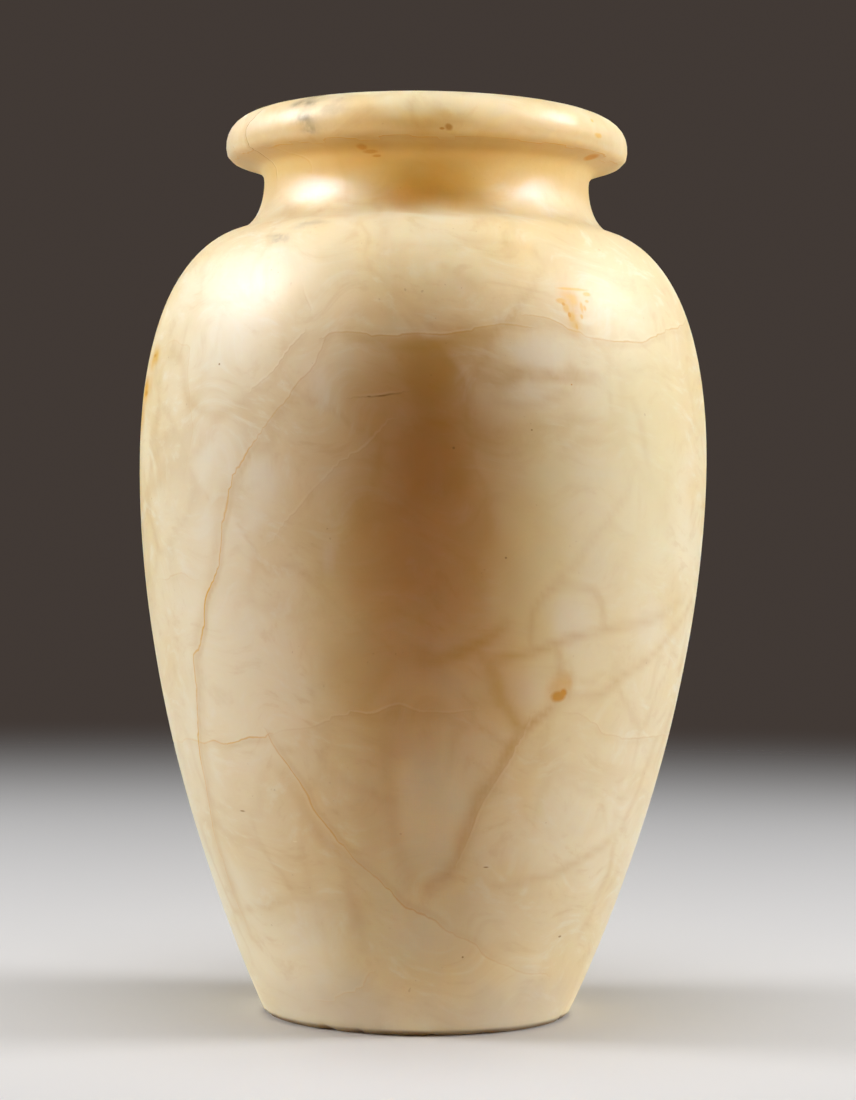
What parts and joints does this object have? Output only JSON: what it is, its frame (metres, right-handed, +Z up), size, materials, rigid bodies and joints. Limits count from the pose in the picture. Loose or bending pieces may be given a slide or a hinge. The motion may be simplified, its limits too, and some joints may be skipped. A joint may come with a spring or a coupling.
{
  "type": "alabaster vase",
  "caption": "Broad-shouldered vase turned from a block of veined alabaster, with a short neck, a rolled lip and a hollow body, standing on its flat foot.",
  "frame": {"origin": "centre of the flat underside, on the surface that the vase stands on", "axes": "+Z up along the turning axis; -Y is the side with the long vein, the side seen in the picture"},
  "size_m": [0.158, 0.158, 0.25],
  "materials": {
    "alabaster": "satin hand polish, translucent, with fine orange-brown veins"
  },
  "bodies": {
    "root": {"vase": "alabaster"}
  },
  "joints": []
}
